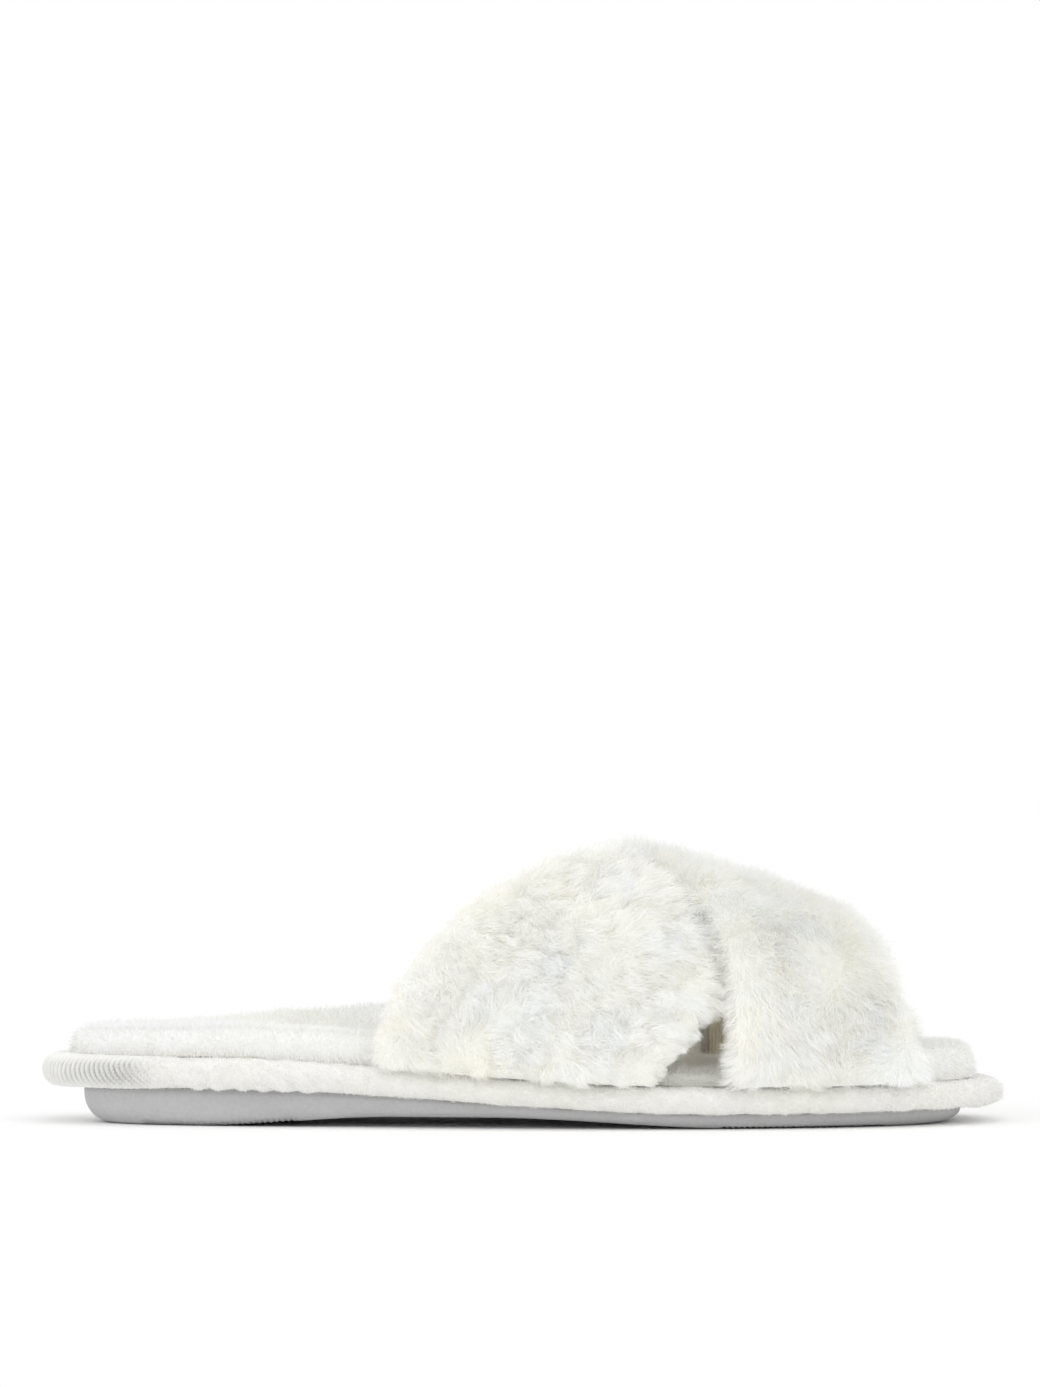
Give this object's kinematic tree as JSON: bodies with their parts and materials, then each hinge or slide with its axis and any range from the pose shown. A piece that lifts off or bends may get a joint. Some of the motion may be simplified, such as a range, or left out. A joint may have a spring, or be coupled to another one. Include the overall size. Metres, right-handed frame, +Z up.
{
  "type": "house slipper",
  "caption": "Open-toe, open-heel fur house slipper for a right foot: moulded sole, fabric-wrapped rim, plush footbed and padded fur straps that cross over the foot.",
  "frame": {"origin": "on the floor, under the middle of the slipper's bounding box", "axes": "+X from heel to toe, +Y towards the big-toe side, +Z up"},
  "size_m": [0.265, 0.1142, 0.0786],
  "materials": {
    "outsole_rubber": "satin moulded thermoplastic rubber, light grey",
    "fibre_board": "matte pressed fibre",
    "platform_foam": "matte closed-cell foam",
    "rim_fleece": "short looped fleece, off-white",
    "pad_foam": "matte soft foam",
    "sock_plush": "dense short plush, off-white",
    "strap_lining": "brushed knit lining, cream",
    "strap_wadding": "matte polyester wadding",
    "strap_fur": "long soft faux fur, warm off-white",
    "sewing_thread": "twisted polyester thread"
  },
  "bodies": {
    "root": {"outsole": "outsole_rubber", "insole_board": "fibre_board", "platform": "platform_foam", "rim_cover": "rim_fleece", "foam_pad": "pad_foam", "plush_sock": "sock_plush", "sock_seam": "sewing_thread", "under_strap_lining": "strap_lining", "under_strap_wadding": "strap_wadding", "under_strap_fur": "strap_fur", "under_strap_rear_seam": "sewing_thread", "under_strap_front_seam": "sewing_thread", "over_strap_lining": "strap_lining", "over_strap_wadding": "strap_wadding", "over_strap_fur": "strap_fur", "over_strap_rear_seam": "sewing_thread", "over_strap_front_seam": "sewing_thread"}
  },
  "joints": []
}
